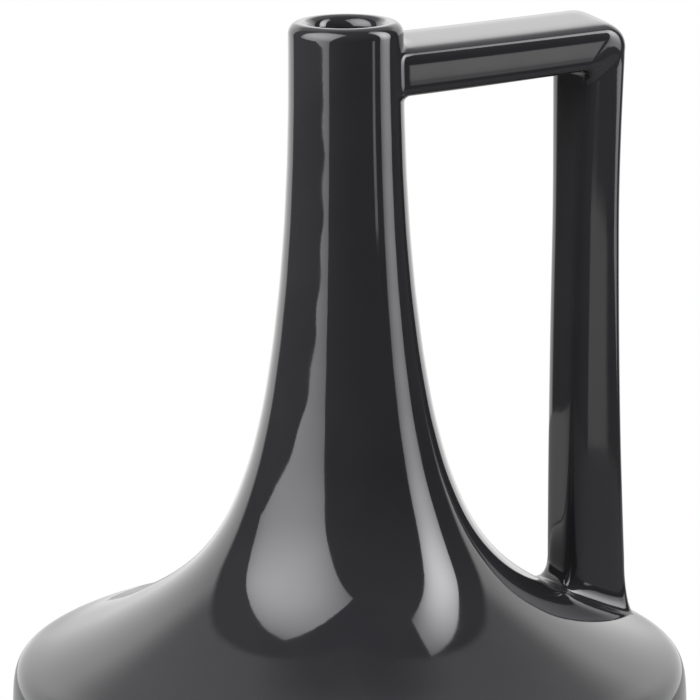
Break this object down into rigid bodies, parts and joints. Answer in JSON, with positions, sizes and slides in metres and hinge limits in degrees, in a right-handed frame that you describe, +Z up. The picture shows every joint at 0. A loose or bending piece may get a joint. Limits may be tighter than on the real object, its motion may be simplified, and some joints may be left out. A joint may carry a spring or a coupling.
{
  "type": "oinochoe jug",
  "caption": "Glazed ceramic pouring jug with a squat drum body, a shoulder that sweeps up into a tall narrow neck, and a squared strap handle from rim to shoulder.",
  "frame": {"origin": "on the axis of turning, in the plane of the table that the foot ring stands on", "axes": "+Z up along the axis of turning, +X from the axis towards the handle, +Y across the handle"},
  "size_m": [0.22, 0.22, 0.3],
  "materials": {
    "black_glaze": "high gloss black glaze",
    "bare_clay": "matt unglazed dark stoneware"
  },
  "bodies": {
    "root": {"foot_ring": "bare_clay", "bowl": "black_glaze", "shoulder": "black_glaze", "neck": "black_glaze", "mouth_collar": "black_glaze", "handle_arm": "black_glaze", "handle_post": "black_glaze", "post_lute": "black_glaze"}
  },
  "joints": []
}
